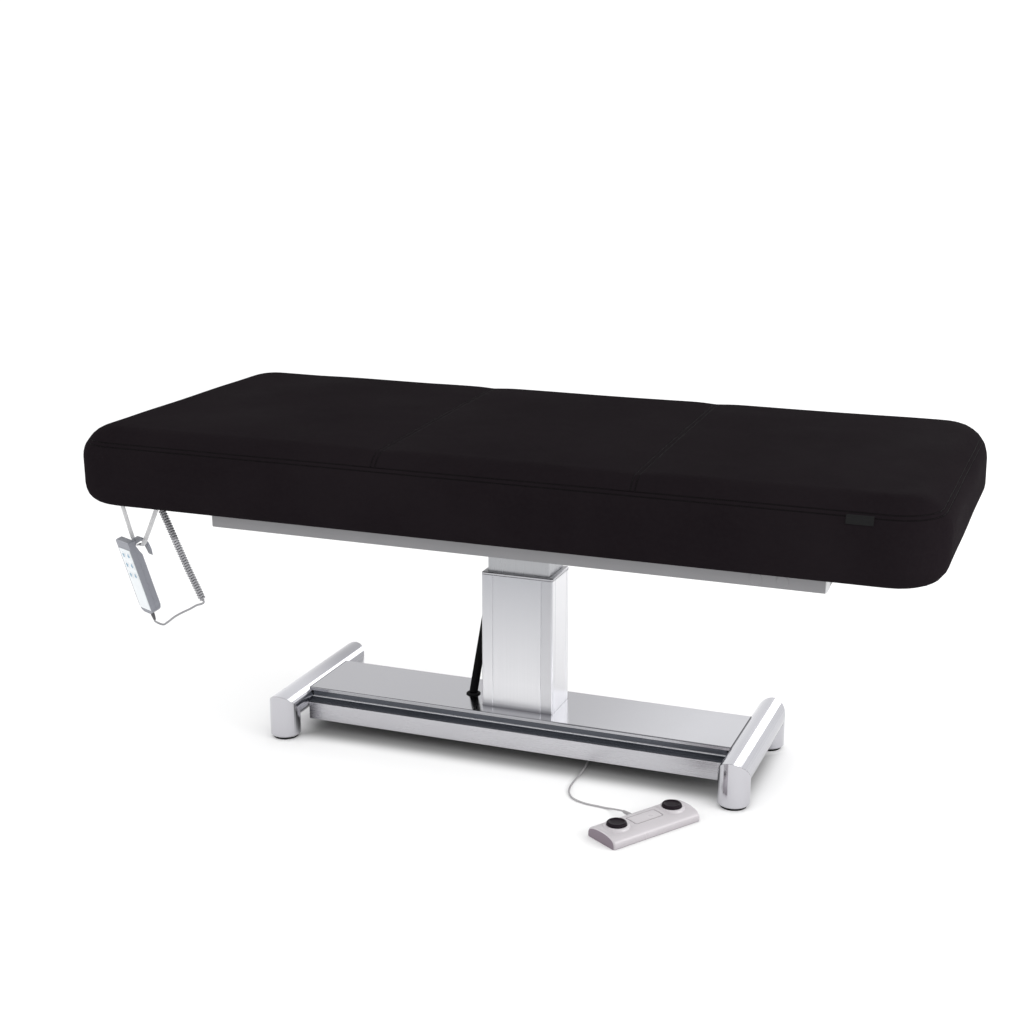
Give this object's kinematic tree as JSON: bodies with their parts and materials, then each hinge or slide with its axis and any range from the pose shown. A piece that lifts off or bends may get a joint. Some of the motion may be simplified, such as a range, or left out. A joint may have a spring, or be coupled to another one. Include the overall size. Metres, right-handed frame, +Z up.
{
  "type": "examination couch",
  "caption": "Electric-lift examination and treatment couch: flat box cushion on a telescopic column, polished foot base, hanging handset and floor foot control.",
  "frame": {"origin": "middle of the footprint box on the floor, cords left out", "axes": "+X along the couch towards the end away from the handset, -Y the side the foot control stands on, +Z up"},
  "size_m": [1.892, 0.8962, 0.758],
  "materials": {
    "polished_steel": "mirror polish",
    "dark_trim": "dark polished",
    "satin_aluminium": "brushed, satin",
    "grey_paint": "satin silver-grey paint",
    "plain_steel": "plain",
    "black_rubber": "matt",
    "black_plastic": "satin",
    "black_leatherette": "fine-grained matt-satin leatherette over foam",
    "woven_label": "woven, blank",
    "plywood": "raw",
    "glide_nylon": "smooth",
    "grey_plastic": "fine texture",
    "white_plastic": "semi gloss",
    "white_webbing": "woven web",
    "white_membrane": "satin film",
    "grey_cord": "satin",
    "white_cord": "satin"
  },
  "bodies": {
    "root": {"foot_bar_left": "polished_steel", "foot_bar_right": "polished_steel", "foot_post_left_front": "polished_steel", "foot_post_left_rear": "polished_steel", "foot_post_right_front": "polished_steel", "foot_post_right_rear": "polished_steel", "base_front_rail": "polished_steel", "base_rear_rail": "polished_steel", "base_top_plate": "polished_steel", "base_trim_strip": "dark_trim", "base_spine": "plain_steel", "lift_spindle": "plain_steel", "foot_pad_left_front": "black_rubber", "foot_pad_left_rear": "black_rubber", "foot_pad_right_front": "black_rubber", "foot_pad_right_rear": "black_rubber", "sleeve_grommet": "black_rubber", "column_outer_tube": "satin_aluminium", "column_collar": "satin_aluminium", "glide_outer": "glide_nylon", "lift_gearbox": "black_plastic", "control_box": "black_plastic", "mains_inlet": "black_plastic", "foot_cord_socket": "black_plastic", "foot_control_body": "white_plastic", "foot_control_gland": "white_plastic", "foot_cord": "white_cord"},
    "column_mid": {"column_mid_tube": "satin_aluminium", "glide_mid": "glide_nylon", "drive_screw_stage": "plain_steel"},
    "top": {"column_inner_tube": "satin_aluminium", "drive_nut": "glide_nylon", "column_head_plate": "plain_steel", "deck_rail_front": "grey_paint", "deck_rail_rear": "grey_paint", "deck_end_member_left": "grey_paint", "deck_end_member_right": "grey_paint", "deck_cross_channel": "grey_paint", "deck_plug_1": "grey_paint", "deck_plug_2": "grey_paint", "deck_board": "plywood", "cushion": "black_leatherette", "cushion_label": "woven_label", "handset_strap": "white_webbing", "handset_front": "grey_plastic", "handset_back": "grey_plastic", "handset_membrane": "white_membrane", "handset_cord_gland": "black_plastic", "handset_cord_relief": "black_plastic", "handset_coil": "grey_cord", "handset_tail": "grey_cord", "cable_sleeve": "black_rubber"},
    "key_1": {"handset_key_1": "white_membrane"},
    "key_2": {"handset_key_2": "white_membrane"},
    "key_3": {"handset_key_3": "white_membrane"},
    "key_4": {"handset_key_4": "white_membrane"},
    "key_5": {"handset_key_5": "white_membrane"},
    "key_6": {"handset_key_6": "white_membrane"},
    "foot_button_left": {"foot_button_left": "black_plastic"},
    "foot_button_right": {"foot_button_right": "black_plastic"}
  },
  "joints": [
    {"name": "column_lift", "type": "slide", "parent": "root", "child": "top", "axis": [0, 0, 1], "range_m": [-0.09, 0.25], "deforming": ["cable_sleeve"]},
    {"name": "column_mid_slide", "type": "slide", "parent": "root", "child": "column_mid", "axis": [0, 0, 1], "range_m": [-0.045, 0.125]},
    {"name": "handset_key_1_press", "type": "slide", "parent": "top", "child": "key_1", "axis": [0.4042, 0.8667, 0.2924], "range_m": [0, 0.0006], "stiffness_N_per_m": 800},
    {"name": "handset_key_2_press", "type": "slide", "parent": "top", "child": "key_2", "axis": [0.4042, 0.8667, 0.2924], "range_m": [0, 0.0006], "stiffness_N_per_m": 800},
    {"name": "handset_key_3_press", "type": "slide", "parent": "top", "child": "key_3", "axis": [0.4042, 0.8667, 0.2924], "range_m": [0, 0.0006], "stiffness_N_per_m": 800},
    {"name": "handset_key_4_press", "type": "slide", "parent": "top", "child": "key_4", "axis": [0.4042, 0.8667, 0.2924], "range_m": [0, 0.0006], "stiffness_N_per_m": 800},
    {"name": "handset_key_5_press", "type": "slide", "parent": "top", "child": "key_5", "axis": [0.4042, 0.8667, 0.2924], "range_m": [0, 0.0006], "stiffness_N_per_m": 800},
    {"name": "handset_key_6_press", "type": "slide", "parent": "top", "child": "key_6", "axis": [0.4042, 0.8667, 0.2924], "range_m": [0, 0.0006], "stiffness_N_per_m": 800},
    {"name": "foot_button_left_press", "type": "slide", "parent": "root", "child": "foot_button_left", "axis": [0, 0, -1], "range_m": [0, 0.003], "stiffness_N_per_m": 1500},
    {"name": "foot_button_right_press", "type": "slide", "parent": "root", "child": "foot_button_right", "axis": [0, 0, -1], "range_m": [0, 0.003], "stiffness_N_per_m": 1500}
  ],
  "couplings": [
    {"joint": "column_mid_slide", "follows": "column_lift", "ratio": 0.5}
  ]
}
